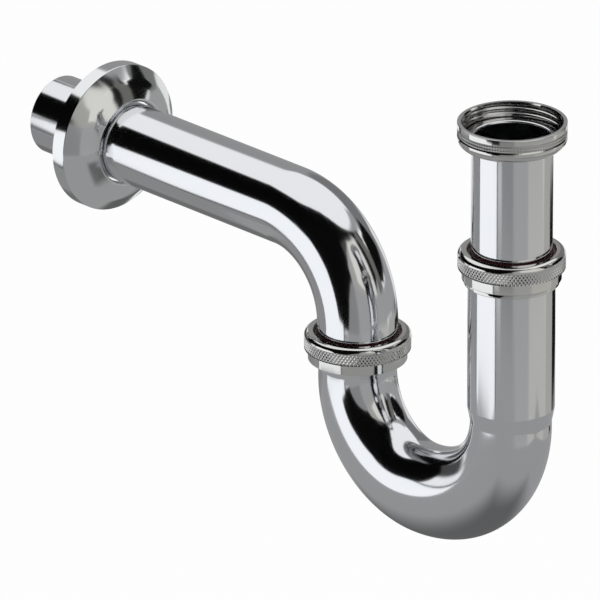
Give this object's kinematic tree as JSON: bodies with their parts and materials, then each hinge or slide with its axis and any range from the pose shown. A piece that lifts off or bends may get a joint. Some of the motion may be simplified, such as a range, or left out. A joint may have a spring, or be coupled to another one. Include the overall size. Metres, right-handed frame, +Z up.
{
  "type": "tubular trap",
  "caption": "Chromed P-trap for a wash basin: sliding inlet tube with union nut, U-bend, knurled nuts, bent outlet pipe and wall rosette.",
  "frame": {"origin": "on the inlet axis, at the sealing face of the inlet tube's rim", "axes": "+Z up along the inlet axis towards the basin waste; the outlet pipe runs level towards -X; the U-bend lies in the XZ plane"},
  "size_m": [0.2785, 0.06, 0.1879],
  "materials": {
    "chrome_tube": "polished",
    "chrome_nut": "polished",
    "chrome_rosette": "polished",
    "seal_rubber": "matte",
    "slip_plastic": "satin"
  },
  "bodies": {
    "inlet_tube": {"inlet_tube": "chrome_tube"},
    "rim_ring": {"inlet_rim_ring": "slip_plastic"},
    "union_nut": {"inlet_union_nut": "chrome_nut"},
    "inlet_seal": {"inlet_seal": "seal_rubber"},
    "u_bend": {"u_bend": "chrome_tube", "inlet_thread_ring": "chrome_nut", "outlet_thread_ring": "chrome_nut", "outlet_gasket": "seal_rubber"},
    "inlet_slip_ring": {"inlet_slip_ring": "slip_plastic"},
    "inlet_clamp_nut": {"inlet_clamp_nut": "chrome_nut"},
    "outlet_pipe": {"outlet_pipe": "chrome_tube"},
    "outlet_slip_ring": {"outlet_slip_ring": "slip_plastic"},
    "outlet_nut": {"outlet_nut": "chrome_nut"},
    "rosette": {"wall_rosette": "chrome_rosette"}
  },
  "joints": [
    {"name": "union_slide", "type": "slide", "parent": "inlet_tube", "child": "rim_ring", "axis": [0, 0, 1], "range_m": [-0.042, 0]},
    {"name": "union_turn", "type": "hinge", "parent": "rim_ring", "child": "union_nut", "pos_m": [0, 0, 0], "axis": [0, 0, 1], "continuous": true},
    {"name": "height_slide", "type": "slide", "parent": "inlet_tube", "child": "inlet_seal", "axis": [0, 0, 1], "range_m": [-0.02, 0.022]},
    {"name": "inlet_swivel", "type": "hinge", "parent": "inlet_seal", "child": "u_bend", "pos_m": [0, 0, -0.0546], "axis": [0, 0, 1], "continuous": true},
    {"name": "inlet_ring_lift", "type": "slide", "parent": "u_bend", "child": "inlet_slip_ring", "axis": [0, 0, 1], "range_m": [0, 0.0061]},
    {"name": "inlet_clamp_turn", "type": "hinge", "parent": "inlet_slip_ring", "child": "inlet_clamp_nut", "pos_m": [0, 0, -0.0535], "axis": [0, 0, 1], "range_deg": [0, 1440]},
    {"name": "outlet_swivel", "type": "hinge", "parent": "u_bend", "child": "outlet_pipe", "pos_m": [-0.086, 0, -0.1114], "axis": [0, 0, 1], "range_deg": [-135, 135]},
    {"name": "outlet_ring_lift", "type": "slide", "parent": "u_bend", "child": "outlet_slip_ring", "axis": [0, 0, 1], "range_m": [0, 0.0061]},
    {"name": "outlet_nut_turn", "type": "hinge", "parent": "outlet_slip_ring", "child": "outlet_nut", "pos_m": [-0.086, 0, -0.1126], "axis": [0, 0, 1], "range_deg": [0, 1440]},
    {"name": "rosette_slide", "type": "slide", "parent": "outlet_pipe", "child": "rosette", "axis": [-1, 0, 0], "range_m": [-0.085, 0.024]}
  ],
  "couplings": [
    {"joint": "inlet_ring_lift", "follows": "inlet_clamp_turn", "m_per_rad": 0.00023873},
    {"joint": "outlet_ring_lift", "follows": "outlet_nut_turn", "m_per_rad": 0.00023873}
  ]
}
